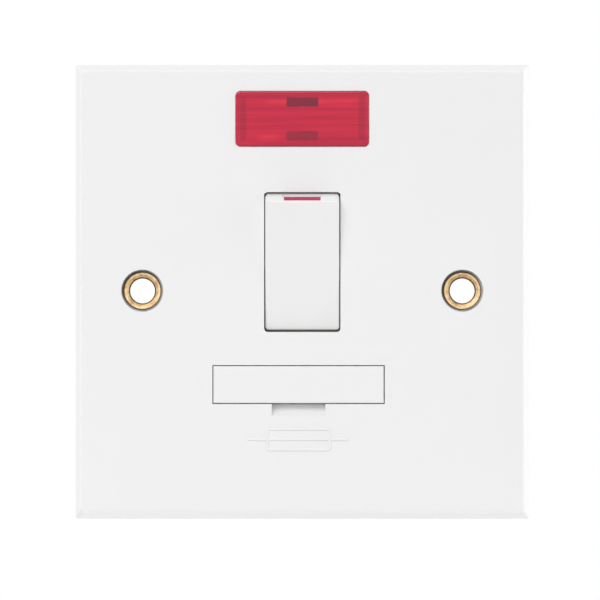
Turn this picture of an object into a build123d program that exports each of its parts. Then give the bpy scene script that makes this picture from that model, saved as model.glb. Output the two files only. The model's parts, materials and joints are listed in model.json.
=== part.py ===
"""Switched fused connection unit: a flat single-gang wall plate with a double-pole rocker switch,
a pull-out fuse drawer and a neon indicator, built as it comes apart on a bench.

Millimetres. X runs right across the plate, Z up, and Y back into the wall. The origin is the middle
of the wall plane, where the plate's rim meets the wall, so the front face lies at minus plate_depth.
"""

import os
from math import asin, cos, degrees, radians, sin, sqrt

from build123d import *

os.makedirs("parts", exist_ok=True)

# Wall plate
plate_size = 86.0
plate_face = 83.5
plate_depth = 9.0
face_thickness = 2.5
rim_wall = 2.2
face_edge_r = 0.55
corner_extra_r = 0.05
plate_corner_r = face_edge_r + corner_extra_r
face_y = -plate_depth
inner_y = face_y + face_thickness

# Fixing holes, brass eyelets and the earth strap that joins them
fixing_centres = 60.3
eyelet_bore_r = 2.35
eyelet_wall = 0.45
eyelet_head_r = 3.5
eyelet_head_t = 0.7
eyelet_dish_depth = 0.5
eyelet_flare_r = 3.5
eyelet_flare_t = 0.45
fixing_recess_r = 3.95
fixing_recess_depth = 2.0
fixing_boss_r = 5.6
fixing_rib_t = 1.2
seat_clearance = 0.05
strap_t = 0.7
strap_rear_y = -1.2
strap_front_y = strap_rear_y - strap_t
strap_w = 3.0
strap_ring_r = 4.8
strap_side_gap = 0.5
eyelet_tube_r = eyelet_bore_r + eyelet_wall
eyelet_seat_y = face_y + fixing_recess_depth

# Rocker switch
rocker_w = 13.95
rocker_slot_h = 26.36
rocker_slot_lip = 1.2
rocker_slot_corner_r = 0.7
rocker_slot_drop = 0.12
rocker_z = 5.52
rocker_gap = 0.2
rocker_end_gap = 0.27
rocker_pivot_depth = 5.0
rocker_proud = 0.7
rocker_tilt = 8.0
rocker_wall = 1.4
rocker_skirt = 0.6
rocker_corner_r = 0.55
rocker_edge_r = 0.35
trunnion_r = 1.5
trunnion_l = 1.6
pivot_clearance = 0.05
keeper_gap = 0.15
keel_h = 8.0
keel_depth = 2.5
collar_wall = 1.8
collar_rear_y = -2.4
flag_w = 6.9
flag_depth = 0.9
flag_front_lip = 0.32
flag_span = 6.3
flag_scoop_depth = 0.35
flag_scoop_margin = 0.3
flag_scoop_span = 6.0
pivot_y = face_y + rocker_pivot_depth
rocker_slot_w = rocker_w + 2 * rocker_gap
slot_r = sqrt((rocker_pivot_depth - rocker_slot_lip) ** 2 + (rocker_slot_h / 2) ** 2)
rocker_r = slot_r - rocker_end_gap
rocker_reach = rocker_pivot_depth + rocker_proud

# Double-pole contacts behind the rocker
pole_x = 3.6
blade_t = 0.8
blade_w = 3.6
blade_bend_r = 0.6
blade_pivot_y = 6.0
blade_contact_l = 11.0
blade_end_l = 12.7
blade_tail_l = 7.0
blade_play = 0.05
plunger_r = 1.35
plunger_nose_r = 1.0
plunger_play = 0.1
plunger_l = 7.5
boss_wall = 0.8
boss_rear_y = 1.5
bore_clearance = 0.05
spring_wire_r = 0.2
spring_wire_sides = 4
spring_turns = 3
tip_r = 1.5
tip_t = 0.7
strip_t = 0.8
strip_w = 4.4
cradle_h = 5.0
ear_t = 0.9
ear_gap = 0.1
blade_back_y = blade_pivot_y + blade_bend_r + blade_t
fixed_tip_y = blade_back_y + tip_t + blade_play
strip_front_y = fixed_tip_y + tip_t
strip_rear_y = strip_front_y + strip_t
contact_z = rocker_z + blade_contact_l
ear_inner = blade_w / 2 + ear_gap
ear_outer = ear_inner + ear_t

# Fuse drawer and cartridge fuse
carrier_x = -0.7
carrier_z = -17.7
carrier_h = 7.0
carrier_t = 2.8
carrier_gap = 0.15
carrier_edge_r = 0.25
rail_t = 2.9
rail_h = 6.2
rail_rear_y = 11.5
rail_inset = 0.32
nib_l = 2.0
nib_proud = 0.75
hook_proud = 1.2
hook_t = 1.3
hook_h = 3.0
saddle_w = 1.6
saddle_h = 5.2
saddle_x = 3.0
notch_w = 10.05
notch_h = 2.2
notch_depth = 2.4
notch_wall = 1.0
notch_sag = 0.12
fuse_l = 25.4
fuse_r = 3.175
fuse_cap_l = 5.6
fuse_cap_wall = 0.3
fuse_gap = 0.25
fuse_end_gap = 0.15
clip_t = 0.5
clip_w = 4.2
clip_gap = 0.075
clip_arm = 1.8
clip_lip = 0.8
clip_flare = 0.4
clip_inset = 3.5
fuse_y = face_y + carrier_t + fuse_gap + fuse_r
clip_spacing = fuse_l - 2 * clip_inset
rail_inner = fuse_l / 2 + fuse_end_gap
rail_outer = rail_inner + rail_t
carrier_w = 2 * (rail_outer + rail_inset)

# Neon indicator
lens_w = 25.1
lens_h = 10.4
lens_z = 32.4
lens_corner_r = 0.9
lens_proud = 0.3
lens_flange_t = 1.6
lens_skirt_wall = 1.0
lens_flange_lip = 0.85
lens_gap = 0.05
lens_edge_r = 0.3
lens_roof_t = 1.5
lens_rib_pitch = 0.8
lens_rib_count = 7
lens_rib_h = 0.4
lens_leg_w = 6.0
lens_barb = 0.45
lens_barb_l = 0.8
pocket_floor_y = -2.2
pocket_floor_t = 1.2
pocket_wall = 1.2
lamp_r = 2.0
lamp_l = 11.0
lamp_x = 1.0
lamp_wall = 0.5
lamp_seat = 0.2
electrode_r = 0.25
electrode_gap = 1.6
lead_r = 0.5
lead_bend = 1.5
resistor_r = 1.2
resistor_l = 6.5
resistor_z = 9.0
resistor_gap = 1.6
lens_back_y = face_y - lens_proud + lens_flange_t
lens_roof_y = face_y - lens_proud + lens_roof_t
skirt_w = lens_w - 2 * lens_flange_lip
skirt_h = lens_h - 2 * lens_flange_lip
lamp_y = pocket_floor_y - lamp_seat - lamp_r
lead_x = skirt_w / 2 - lens_skirt_wall - lead_r

# Rear housing, terminals and screws
housing_w = 46.0
housing_wall = 1.5
housing_floor = 1.6
housing_rear_y = 16.0
housing_corner_r = 1.5
housing_edge_r = 0.4
split_y = -0.8
barrier_t = 1.2
well_gap = 0.6
terminal_w = 8.0
terminal_h = 7.0
terminal_pitch = 14.0
terminal_front_y = 3.4
terminal_rear_y = 12.8
terminal_edge = 0.4
terminal_clearance = 0.3
line_terminal_shift = 0.6
supply_z = 20.5
load_z = -24.1
cable_r = 2.1
cable_y = 6.8
window_margin = 1.1
clamp_screw_r = 1.9
clamp_hole_r = 2.0
clamp_head_r = 2.9
clamp_head_t = 2.0
clamp_head_y = 15.6
clamp_access_r = 3.3
guide_wall = 1.0
tab_w = 6.0
tab_front_y = 4.6
slot_width = 0.8
slot_depth = 1.0
cover_screw_inset = 4.0
cover_screw_upper_z = 13.0
cover_screw_lower_z = -5.0
cover_screw_r = 1.45
cover_hole_r = 1.6
cover_head_r = 2.7
cover_head_t = 1.6
cover_sink_r = 2.9
cover_sink = 1.7
cover_boss_r = 3.4
pillar_r = 2.6
pillar_floor = 1.2
cover_screw_bite = 4.2
cover_slot_l = 3.8
bay_gap = 0.25
bay_half_h = 4.4
bay_wall = 1.2
slot_clearance = 0.3
housing_inner_y = housing_rear_y - housing_floor
bay_half_w = rail_outer + nib_proud + bay_gap
housing_top = supply_z + terminal_h + terminal_clearance + housing_wall
housing_bottom = load_z - terminal_h - terminal_clearance - housing_wall
housing_h = housing_top - housing_bottom
housing_z = (housing_top + housing_bottom) / 2
well_half_w = rocker_w / 2 + well_gap
cover_screw_x = housing_w / 2 - cover_screw_inset
supply_xs = (-terminal_pitch, pole_x - line_terminal_shift, terminal_pitch)
load_xs = (-terminal_pitch, 0.0, terminal_pitch)
cover_screw_spots = [
    (x, z) for x in (-cover_screw_x, cover_screw_x) for z in (cover_screw_lower_z, cover_screw_upper_z)
]
cut_through = plate_size


def front_view(y):
    """Sketch plane at depth y seen from the front: local axes X and Z, normal towards the viewer."""
    return Plane.XZ.offset(-y)


def side_view(x=0.0):
    """Sketch plane at x seen from the right: local axes Y and Z, normal along X."""
    return Plane.YZ.offset(x)


def bar(x_range, z_range):
    """Rectangle in the current front view between two X and two Z limits."""
    with Locations(((x_range[0] + x_range[1]) / 2, (z_range[0] + z_range[1]) / 2)):
        Rectangle(x_range[1] - x_range[0], z_range[1] - z_range[0])


def write(piece, name):
    piece.label = name
    export_step(piece, f"parts/{name}.step")


# Front plate: one thermoset moulding with its rim, collar, lens pocket, bosses and pillars
plate_inner = plate_size - 2 * rim_wall
plate_inner_front = plate_inner - (plate_size - plate_face) * (plate_depth - face_thickness) / plate_depth
rocker_collar_w = rocker_slot_w + 2 * collar_wall
rocker_collar_h = 2 * (slot_r + collar_wall)
pocket_w = skirt_w + 2 * lens_gap
pocket_h = skirt_h + 2 * lens_gap
pocket_rear_y = pocket_floor_y + pocket_floor_t
leg_z = skirt_h / 2 - lens_skirt_wall / 2
leg_slot_w = lens_leg_w + 2 * slot_clearance
leg_slot_h = lens_skirt_wall + 2 * (lens_barb + lens_gap)
carrier_foot = carrier_z - carrier_h / 2 - carrier_gap
notch_rear_y = face_y + notch_depth + notch_wall
fixing_spots = [(-fixing_centres / 2, 0.0), (fixing_centres / 2, 0.0)]
rim_inside = plate_inner / 2
strap_z = carrier_z + bay_half_h + bay_wall + strap_w / 2

with BuildPart() as front_plate:
    with BuildSketch(front_view(0)):
        RectangleRounded(plate_size, plate_size, plate_corner_r)
    with BuildSketch(front_view(face_y)):
        RectangleRounded(plate_face, plate_face, plate_corner_r)
    loft()
    fillet(front_plate.faces().sort_by(Axis.Y)[0].edges(), face_edge_r)
    with BuildSketch(front_view(0)):
        RectangleRounded(plate_inner, plate_inner, plate_corner_r)
    with BuildSketch(front_view(inner_y)):
        RectangleRounded(plate_inner_front, plate_inner_front, plate_corner_r)
    loft(mode=Mode.SUBTRACT)
    # Wall that the rear housing closes on
    with BuildSketch(front_view(split_y)):
        with Locations((0, housing_z)):
            RectangleRounded(housing_w, housing_h, housing_corner_r)
            Rectangle(housing_w - 2 * housing_wall, housing_h - 2 * housing_wall, mode=Mode.SUBTRACT)
    extrude(amount=split_y - inner_y)
    # Gaps in that wall for the earth strap
    with BuildSketch(front_view(split_y)):
        with Locations((0, strap_z)):
            Rectangle(housing_w + 2 * slot_clearance, strap_w + 2 * slot_clearance)
    extrude(amount=split_y - strap_front_y + slot_clearance, mode=Mode.SUBTRACT)
    # Rocker collar, lens pocket, fixing bosses with their ribs, and cover screw pillars
    with BuildSketch(front_view(collar_rear_y)):
        with Locations((0, rocker_z)):
            Rectangle(rocker_collar_w, rocker_collar_h)
    extrude(amount=collar_rear_y - inner_y)
    with BuildSketch(front_view(pocket_rear_y)):
        with Locations((0, lens_z)):
            RectangleRounded(pocket_w + 2 * pocket_wall, pocket_h + 2 * pocket_wall, lens_corner_r)
    extrude(amount=pocket_rear_y - inner_y)
    with BuildSketch(front_view(strap_front_y)):
        with Locations(*fixing_spots):
            Circle(fixing_boss_r)
        for side in (-1, 1):
            bar(sorted((side * housing_w / 2, side * rim_inside)), (-fixing_rib_t / 2, fixing_rib_t / 2))
    extrude(amount=strap_front_y - inner_y)
    with BuildSketch(front_view(split_y)):
        with Locations(*cover_screw_spots):
            Circle(pillar_r)
    extrude(amount=split_y - inner_y)
    with BuildSketch(front_view(split_y)):
        with Locations(*cover_screw_spots):
            Circle(cover_screw_r + seat_clearance)
    extrude(amount=split_y - inner_y - pillar_floor, mode=Mode.SUBTRACT)
    # Block behind the face that gives the fingernail scoop its depth
    with BuildSketch(front_view(notch_rear_y)):
        bar(
            (carrier_x - notch_w / 2 - notch_wall, carrier_x + notch_w / 2 + notch_wall),
            (carrier_foot - notch_h - notch_wall, carrier_foot),
        )
    extrude(amount=notch_rear_y - inner_y)
    # Stepped fixing holes
    with Locations(*[Plane((x, face_y, z), x_dir=(1, 0, 0), z_dir=(0, -1, 0)) for x, z in fixing_spots]):
        CounterBoreHole(eyelet_tube_r + seat_clearance, fixing_recess_r, fixing_recess_depth)
    # Rocker slot: a straight lip, then a well swept by the rocker's round ends, and its open bearings
    with BuildSketch(front_view(face_y + rocker_slot_lip)):
        with Locations((0, rocker_z - rocker_slot_drop)):
            RectangleRounded(rocker_slot_w, rocker_slot_h, rocker_slot_corner_r)
    extrude(amount=cut_through, mode=Mode.SUBTRACT)
    with BuildSketch(side_view()):
        with Locations((pivot_y, rocker_z)):
            Circle(slot_r)
    extrude(amount=rocker_slot_w / 2, both=True, mode=Mode.SUBTRACT)
    with BuildSketch(side_view()):
        with Locations((pivot_y, rocker_z)):
            Circle(trunnion_r + pivot_clearance)
            Rectangle(
                2 * (collar_rear_y - pivot_y),
                2 * (trunnion_r + pivot_clearance),
                align=(Align.MIN, Align.CENTER),
            )
    extrude(amount=rocker_w / 2 + trunnion_l + rocker_gap, both=True, mode=Mode.SUBTRACT)
    # Fuse drawer opening and the scoop below it for a fingernail
    with BuildSketch(front_view(inner_y)):
        with Locations((carrier_x, carrier_z)):
            Rectangle(carrier_w + 2 * carrier_gap, carrier_h + 2 * carrier_gap)
    extrude(amount=cut_through, mode=Mode.SUBTRACT)
    with BuildSketch(side_view(carrier_x)):
        with BuildLine():
            Polyline(
                (face_y + notch_depth, carrier_foot),
                (face_y + notch_depth, carrier_z),
                (face_y - notch_depth, carrier_z),
                (face_y - notch_depth, carrier_foot - notch_h),
                (face_y, carrier_foot - notch_h),
            )
            ThreePointArc(
                (face_y, carrier_foot - notch_h),
                (face_y + notch_depth / 2 + notch_sag, carrier_foot - notch_h / 2 - notch_sag),
                (face_y + notch_depth, carrier_foot),
            )
        make_face()
    extrude(amount=notch_w / 2, both=True, mode=Mode.SUBTRACT)
    # Lens pocket: rebate for the flange, well for the skirt, slots for its legs and holes for the leads
    with BuildSketch(front_view(pocket_floor_y)):
        with Locations((0, lens_z)):
            Rectangle(pocket_w, pocket_h)
    extrude(amount=cut_through, mode=Mode.SUBTRACT)
    with BuildSketch(front_view(lens_back_y)):
        with Locations((0, lens_z)):
            RectangleRounded(lens_w + 2 * lens_gap, lens_h + 2 * lens_gap, lens_corner_r + lens_gap)
    extrude(amount=cut_through, mode=Mode.SUBTRACT)
    with BuildSketch(front_view(split_y)):
        with Locations((0, lens_z + leg_z), (0, lens_z - leg_z)):
            Rectangle(leg_slot_w, leg_slot_h)
        with Locations((lead_x, lens_z + electrode_gap / 2), (lead_x, lens_z - electrode_gap / 2)):
            Circle(lead_r + seat_clearance)
    extrude(amount=split_y - pocket_floor_y, mode=Mode.SUBTRACT)
write(front_plate.part, "front_plate")


# Neon lens: red flange and skirt, ribbed inside, with a snap leg above and below
with BuildPart() as neon_lens:
    with BuildSketch(front_view(lens_back_y)):
        with Locations((0, lens_z)):
            RectangleRounded(lens_w, lens_h, lens_corner_r)
    extrude(amount=lens_flange_t)
    fillet(neon_lens.faces().sort_by(Axis.Y)[0].edges(), lens_edge_r)
    with BuildSketch(front_view(pocket_floor_y - lens_gap)):
        with Locations((0, lens_z)):
            Rectangle(skirt_w, skirt_h)
    extrude(amount=pocket_floor_y - lens_gap - lens_back_y)
    with BuildSketch(front_view(pocket_floor_y)):
        with Locations((0, lens_z)):
            Rectangle(skirt_w - 2 * lens_skirt_wall, skirt_h - 2 * lens_skirt_wall)
    extrude(amount=pocket_floor_y - lens_roof_y, mode=Mode.SUBTRACT)
    # Light-spreading ribs under the roof
    rib_foot = lens_z - lens_rib_count * lens_rib_pitch / 2
    with BuildSketch(side_view()):
        for rib in range(lens_rib_count):
            rib_z = rib_foot + rib * lens_rib_pitch
            with BuildLine():
                Polyline(
                    (lens_roof_y, rib_z),
                    (lens_roof_y + lens_rib_h, rib_z + lens_rib_pitch / 2),
                    (lens_roof_y, rib_z + lens_rib_pitch),
                    close=True,
                )
            make_face()
    extrude(amount=skirt_w / 2 - lens_skirt_wall, both=True)
    # Legs that pass through the pocket floor and hook behind it
    for side in (-1, 1):
        with BuildSketch(side_view()):
            with BuildLine():
                Polyline(
                    (pocket_floor_y - lens_gap, lens_z + side * (leg_z - lens_skirt_wall / 2)),
                    (pocket_rear_y + lens_barb_l, lens_z + side * (leg_z - lens_skirt_wall / 2)),
                    (pocket_rear_y + lens_barb_l, lens_z + side * skirt_h / 2),
                    (pocket_rear_y + seat_clearance, lens_z + side * (skirt_h / 2 + lens_barb)),
                    (pocket_rear_y + seat_clearance, lens_z + side * skirt_h / 2),
                    (pocket_floor_y - lens_gap, lens_z + side * skirt_h / 2),
                    close=True,
                )
            make_face()
        extrude(amount=lens_leg_w / 2, both=True)
write(neon_lens.part, "neon_lens")


# Neon lamp: hollow glass tube on its side, two electrodes, insulated leads and a series resistor
lamp_end = lamp_x + lamp_l / 2
lamp_axis_plane = Plane((lamp_x, lamp_y, lens_z), x_dir=(1, 0, 0), z_dir=(0, -1, 0))

with BuildPart() as neon_envelope:
    with BuildSketch(lamp_axis_plane):
        with BuildLine():
            Polyline((-lamp_l / 2, 0), (lamp_l / 2, 0), (lamp_l / 2, lamp_r), (lamp_r - lamp_l / 2, lamp_r))
            RadiusArc((lamp_r - lamp_l / 2, lamp_r), (-lamp_l / 2, 0), -lamp_r)
        make_face()
        with BuildLine():
            inner_r = lamp_r - lamp_wall
            Polyline(
                (lamp_wall - lamp_l / 2, 0),
                (lamp_l / 2 - lamp_r, 0),
                (lamp_l / 2 - lamp_r, inner_r),
                (lamp_r - lamp_l / 2, inner_r),
            )
            RadiusArc((lamp_r - lamp_l / 2, inner_r), (lamp_wall - lamp_l / 2, 0), -inner_r)
        make_face(mode=Mode.SUBTRACT)
    revolve(axis=Axis((0, lamp_y, lens_z), (1, 0, 0)))
    with BuildSketch(side_view(lamp_end)):
        with Locations((lamp_y, lens_z + electrode_gap / 2), (lamp_y, lens_z - electrode_gap / 2)):
            Circle(electrode_r)
    extrude(amount=-lamp_r, mode=Mode.SUBTRACT)
write(neon_envelope.part, "neon_envelope")

with BuildPart() as neon_electrodes:
    for side in (-1, 1):
        electrode_z = lens_z + side * electrode_gap / 2
        with BuildLine() as electrode_path:
            FilletPolyline(
                (lamp_x - lamp_l / 4, lamp_y, electrode_z),
                (lead_x, lamp_y, electrode_z),
                (lead_x, pocket_floor_y, electrode_z),
                radius=lead_r,
            )
        with BuildSketch(side_view(lamp_x - lamp_l / 4)):
            with Locations((lamp_y, electrode_z)):
                Circle(electrode_r)
        sweep(path=electrode_path.line)
write(neon_electrodes.part, "neon_electrodes")

line_lead_y = split_y + 2 * lead_r + slot_clearance
neutral_lead_y = line_lead_y + resistor_r + lead_r + slot_clearance
lead_foot_z = carrier_z + bay_half_h + bay_wall + lead_r + slot_clearance
lead_turn_z = lead_foot_z + 2 * lead_r + slot_clearance
resistor_x = well_half_w + barrier_t + resistor_gap + resistor_r
resistor_top = resistor_z + resistor_l / 2
resistor_foot = resistor_z - resistor_l / 2

with BuildPart() as neon_leads:
    line_z = lens_z - electrode_gap / 2
    neutral_z = lens_z + electrode_gap / 2
    lead_routes = [
        [
            (lead_x, pocket_floor_y, line_z),
            (lead_x, line_lead_y, line_z),
            (lead_x, line_lead_y, supply_z - strap_t - lead_bend),
            (resistor_x, line_lead_y, resistor_top + lead_bend),
            (resistor_x, line_lead_y, resistor_top),
        ],
        [
            (resistor_x, line_lead_y, resistor_foot),
            (resistor_x, line_lead_y, lead_foot_z),
            (resistor_x, strip_front_y, lead_foot_z),
        ],
        [
            (lead_x, pocket_floor_y, neutral_z),
            (lead_x, neutral_lead_y, neutral_z),
            (lead_x, neutral_lead_y, lead_turn_z),
            (-pole_x, neutral_lead_y, lead_turn_z),
            (-pole_x, strip_front_y, lead_turn_z),
        ],
    ]
    for route in lead_routes:
        with BuildLine() as lead_path:
            FilletPolyline(*route, radius=lead_bend)
        with BuildSketch(lead_path.line ^ 0):
            Circle(lead_r)
        sweep(path=lead_path.line)
write(neon_leads.part, "neon_leads")

with BuildPart() as neon_resistor:
    with BuildSketch(Plane.XY.offset(resistor_foot)):
        with Locations((resistor_x, line_lead_y)):
            Circle(resistor_r)
    extrude(amount=resistor_l)
    chamfer(neon_resistor.edges().filter_by(GeomType.CIRCLE), resistor_r / 3)
write(neon_resistor.part, "neon_resistor")


# Brass eyelets: dished head in the plate's recess, tube through the boss, flared behind the strap
def fixing_eyelet(x):
    with BuildPart() as eyelet:
        with BuildSketch(Plane((x, 0, 0), x_dir=(1, 0, 0), z_dir=(0, 0, 1))):
            with BuildLine():
                Polyline(
                    (eyelet_bore_r, eyelet_seat_y - eyelet_head_t + eyelet_dish_depth),
                    (eyelet_head_r - eyelet_wall, eyelet_seat_y - eyelet_head_t),
                    (eyelet_head_r, eyelet_seat_y - eyelet_head_t),
                    (eyelet_head_r, eyelet_seat_y),
                    (eyelet_tube_r, eyelet_seat_y),
                    (eyelet_tube_r, strap_rear_y),
                    (eyelet_flare_r, strap_rear_y),
                    (eyelet_tube_r, strap_rear_y + eyelet_flare_t),
                    (eyelet_bore_r, strap_rear_y + eyelet_flare_t),
                    close=True,
                )
            make_face()
        revolve(axis=Axis((x, 0, 0), (0, 1, 0)))
    return eyelet.part


write(fixing_eyelet(-fixing_centres / 2), "fixing_eyelet_left")
write(fixing_eyelet(fixing_centres / 2), "fixing_eyelet_right")

# Earth strap: one stamping from eyelet to eyelet, with a bent tab at each earth terminal
strap_elbow_x = housing_w / 2 + 2 * slot_clearance
load_leg_x = terminal_pitch + terminal_w / 2
load_leg_end = housing_w / 2 - housing_wall - strap_side_gap
supply_leg_x = terminal_pitch - tab_w / 2
supply_tab_z = supply_z - strap_t
load_tab_z = load_z - terminal_h / 2
strap_tab_y = cable_y + cable_r

with BuildPart() as earth_strap:
    with BuildSketch(front_view(strap_rear_y)):
        bar((-strap_elbow_x, strap_elbow_x), (strap_z - strap_w / 2, strap_z + strap_w / 2))
        bar((supply_leg_x, supply_leg_x + strap_w), (strap_z, supply_z))
        bar((load_leg_x, load_leg_end), (load_tab_z - strap_w / 2, strap_z))
        for side in (-1, 1):
            with BuildLine():
                Polyline(
                    (side * strap_elbow_x, strap_z - strap_w / 2),
                    (side * (fixing_centres / 2 + strap_w), 0),
                    (side * (fixing_centres / 2 - strap_w), 0),
                    (side * strap_elbow_x, strap_z + strap_w / 2),
                    close=True,
                )
            make_face()
        with Locations(*fixing_spots):
            Circle(strap_ring_r)
            Circle(eyelet_tube_r + seat_clearance, mode=Mode.SUBTRACT)
    extrude(amount=strap_t)
    with BuildSketch(front_view(strap_tab_y)):
        bar((terminal_pitch - tab_w / 2, terminal_pitch + tab_w / 2), (supply_tab_z, supply_z))
        bar((load_leg_x, load_leg_x + strap_t), (load_tab_z - strap_w / 2, load_tab_z + strap_w / 2))
    extrude(amount=strap_tab_y - strap_rear_y)
write(earth_strap.part, "earth_strap")


# Terminal blocks: brass, with a cable hole along Z and a clamp screw hole from the back
def terminal_block(x, z):
    with BuildPart() as block:
        with BuildSketch(front_view(terminal_rear_y)):
            with Locations((x, z)):
                Rectangle(terminal_w, terminal_h, align=(Align.CENTER, Align.MIN))
        extrude(amount=terminal_rear_y - terminal_front_y)
        chamfer(block.edges().filter_by(Axis.Y), terminal_edge)
        with BuildSketch(Plane.XY.offset(z)):
            with Locations((x, cable_y)):
                Circle(cable_r)
        extrude(amount=terminal_h, mode=Mode.SUBTRACT)
        with BuildSketch(front_view(terminal_rear_y)):
            with Locations((x, z + terminal_h / 2)):
                Circle(clamp_hole_r)
        extrude(amount=terminal_rear_y - cable_y, mode=Mode.SUBTRACT)
    return block.part


for x, name in zip(supply_xs, ("neutral", "line", "earth")):
    write(terminal_block(x, supply_z), f"supply_{name}_terminal")
for x, name in zip(load_xs, ("line", "neutral", "earth")):
    write(terminal_block(x, load_z - terminal_h), f"load_{name}_terminal")

# Clamp screws, backed out as delivered, with slotted cheese heads
clamp_spots = [(x, supply_z + terminal_h / 2) for x in supply_xs]
clamp_spots += [(x, load_z - terminal_h / 2) for x in load_xs]
clamp_tip_y = cable_y + cable_r + slot_clearance

with BuildPart() as terminal_screws:
    with BuildSketch(front_view(clamp_head_y)):
        with Locations(*clamp_spots):
            Circle(clamp_head_r)
    extrude(amount=clamp_head_t)
    with BuildSketch(front_view(clamp_head_y - clamp_head_t)):
        with Locations(*clamp_spots):
            Circle(clamp_screw_r)
    extrude(amount=clamp_head_y - clamp_head_t - clamp_tip_y)
    with BuildSketch(front_view(clamp_head_y)):
        with Locations(*clamp_spots):
            Rectangle(2 * clamp_head_r, slot_width)
    extrude(amount=slot_depth, mode=Mode.SUBTRACT)
write(terminal_screws.part, "terminal_screws")


# Current-carrying strips, all in one plane behind the moving contacts
def tab(x_range, z_range):
    """Bent end of a strip that lies along a terminal block's inner face."""
    with BuildSketch(front_view(strip_rear_y)) as outline:
        bar(x_range, z_range)
    extrude(outline.sketch, amount=strip_rear_y - tab_front_y)


def cradle(x):
    """Seat plate with two upright ears, notched from the front for a moving contact's journals."""
    with BuildSketch(front_view(strip_rear_y)) as seat:
        with Locations((x, rocker_z)):
            Rectangle(2 * ear_outer, cradle_h)
    extrude(seat.sketch, amount=strip_t)
    with BuildSketch(front_view(strip_front_y)) as ears:
        with Locations((x, rocker_z)):
            Rectangle(2 * ear_outer, cradle_h)
            Rectangle(2 * ear_inner, cradle_h, mode=Mode.SUBTRACT)
    extrude(ears.sketch, amount=strip_front_y - blade_pivot_y)
    with BuildSketch(side_view(x)) as notch:
        with Locations((blade_pivot_y, rocker_z)):
            Circle(blade_bend_r + blade_t + blade_play)
    extrude(notch.sketch, amount=ear_outer, both=True, mode=Mode.SUBTRACT)


strip_half = strip_w / 2
supply_foot_z = contact_z - tip_r - slot_clearance
supply_neck_z = supply_z - strip_w / 2
pivot_top_z = rocker_z + cradle_h / 2 + slot_clearance
clip_in_x = carrier_x + clip_spacing / 2
clip_out_x = carrier_x - clip_spacing / 2
tail_top = carrier_z + clip_t / 2
tail_foot = carrier_z - clip_t / 2
jog_z = lead_foot_z + lead_r + slot_clearance

with BuildPart() as supply_line_strip:
    with BuildSketch(front_view(strip_rear_y)):
        bar((pole_x - strip_half, pole_x + strip_half), (supply_foot_z, supply_z))
    extrude(amount=strip_t)
    tab((pole_x - strip_half, pole_x + strip_half), (supply_z - strip_t, supply_z))
write(supply_line_strip.part, "supply_line_strip")

with BuildPart() as supply_neutral_strip:
    with BuildSketch(front_view(strip_rear_y)):
        bar((-pole_x - strip_half, -pole_x + strip_half), (supply_foot_z, supply_z))
        bar((-terminal_pitch - tab_w / 2, -pole_x), (supply_neck_z, supply_z))
    extrude(amount=strip_t)
    tab((-terminal_pitch - tab_w / 2, -terminal_pitch + tab_w / 2), (supply_z - strip_t, supply_z))
write(supply_neutral_strip.part, "supply_neutral_strip")

with BuildPart() as line_pivot_strip:
    with BuildSketch(front_view(strip_rear_y)):
        with BuildLine():
            Polyline(
                (pole_x - strip_half, pivot_top_z),
                (pole_x + strip_half, pivot_top_z),
                (pole_x + strip_half, jog_z + strip_half),
                (resistor_x + lead_r, jog_z),
                (resistor_x + lead_r, carrier_z + bay_half_h),
                (clip_in_x + clip_w / 2, carrier_z + bay_half_h),
                (clip_in_x + clip_w / 2, tail_top),
                (clip_in_x - clip_w / 2, tail_top),
                (clip_in_x - clip_w / 2, carrier_z + bay_half_h + bay_wall + slot_clearance),
                (pole_x - strip_half, jog_z),
                close=True,
            )
        make_face()
    extrude(amount=strip_t)
    cradle(pole_x)
write(line_pivot_strip.part, "line_pivot_strip")

with BuildPart() as neutral_pivot_strip:
    with BuildSketch(front_view(strip_rear_y)):
        bar((-pole_x - strip_half, -pole_x + strip_half), (load_z, pivot_top_z))
        bar((-pole_x, tab_w / 2), (load_z, load_z + strip_t))
    extrude(amount=strip_t)
    cradle(-pole_x)
    tab((-tab_w / 2, tab_w / 2), (load_z, load_z + strip_t))
write(neutral_pivot_strip.part, "neutral_pivot_strip")

with BuildPart() as load_line_strip:
    with BuildSketch(front_view(strip_rear_y)):
        bar((clip_out_x - clip_w / 2, clip_out_x + clip_w / 2), (load_z, tail_foot))
    extrude(amount=strip_t)
    tab((-terminal_pitch - tab_w / 2, clip_out_x + clip_w / 2), (load_z, load_z + strip_t))
write(load_line_strip.part, "load_line_strip")


# Contact tips: silver rivet heads on the strips and on the moving contacts
with BuildPart() as fixed_contact_tips:
    with BuildSketch(front_view(strip_front_y)):
        with Locations((pole_x, contact_z), (-pole_x, contact_z)):
            Circle(tip_r)
    extrude(amount=tip_t)
write(fixed_contact_tips.part, "fixed_contact_tips")


def contact_axis(x):
    return Axis((x, blade_pivot_y, rocker_z), (1, 0, 0))


def arm_point(length, reach, side):
    """Point in the side view on a blade arm, length along it and reach behind its pivot, at mid travel."""
    lean = radians(rocker_tilt)
    y = blade_pivot_y - length * sin(lean) + reach * cos(lean)
    z = rocker_z + side * (length * cos(lean) + reach * sin(lean))
    return (y, z)


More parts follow.
